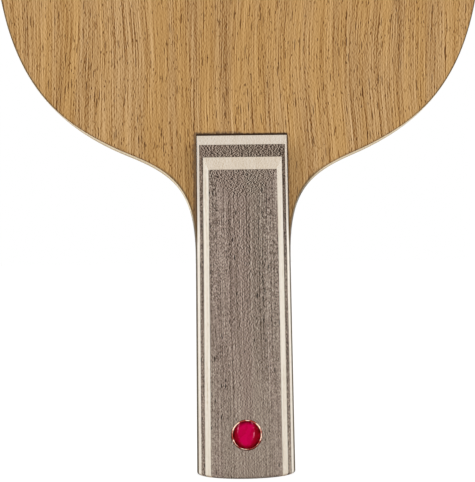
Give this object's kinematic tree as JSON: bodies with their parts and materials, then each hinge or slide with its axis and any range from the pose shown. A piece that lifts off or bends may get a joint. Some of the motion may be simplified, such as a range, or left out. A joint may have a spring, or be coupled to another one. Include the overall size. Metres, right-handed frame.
{
  "type": "table tennis paddle",
  "caption": "Bare plywood table tennis blade with a straight laminated grip and a small round stone badge near the butt end.",
  "frame": {"origin": "centre of the flat butt end of the grip, on the middle plane of the plywood", "axes": "+Z along the blade from the butt end to the top of the head, -Y out of the front face, which carries the badge, +X to the right as the front face is seen upright"},
  "size_m": [0.149, 0.0226, 0.2595],
  "materials": {
    "face_wood": "thin satin sealer over open pores",
    "inner_wood": "sanded",
    "core_wood": "sanded",
    "pale_grip_wood": "satin",
    "dark_grip_wood": "satin over open pores",
    "badge_metal": "polished",
    "badge_stone": "polished facets"
  },
  "bodies": {
    "root": {"face_veneer_front": "face_wood", "inner_ply_front": "inner_wood", "core_ply": "core_wood", "inner_ply_back": "inner_wood", "face_veneer_back": "face_wood", "grip_front_base": "pale_grip_wood", "grip_front_dark_stripe": "dark_grip_wood", "grip_front_pale_stripe": "pale_grip_wood", "grip_front_cap": "dark_grip_wood", "grip_back_base": "pale_grip_wood", "grip_back_dark_stripe": "dark_grip_wood", "grip_back_pale_stripe": "pale_grip_wood", "grip_back_cap": "dark_grip_wood", "badge_bezel": "badge_metal", "badge_stone": "badge_stone"}
  },
  "joints": []
}
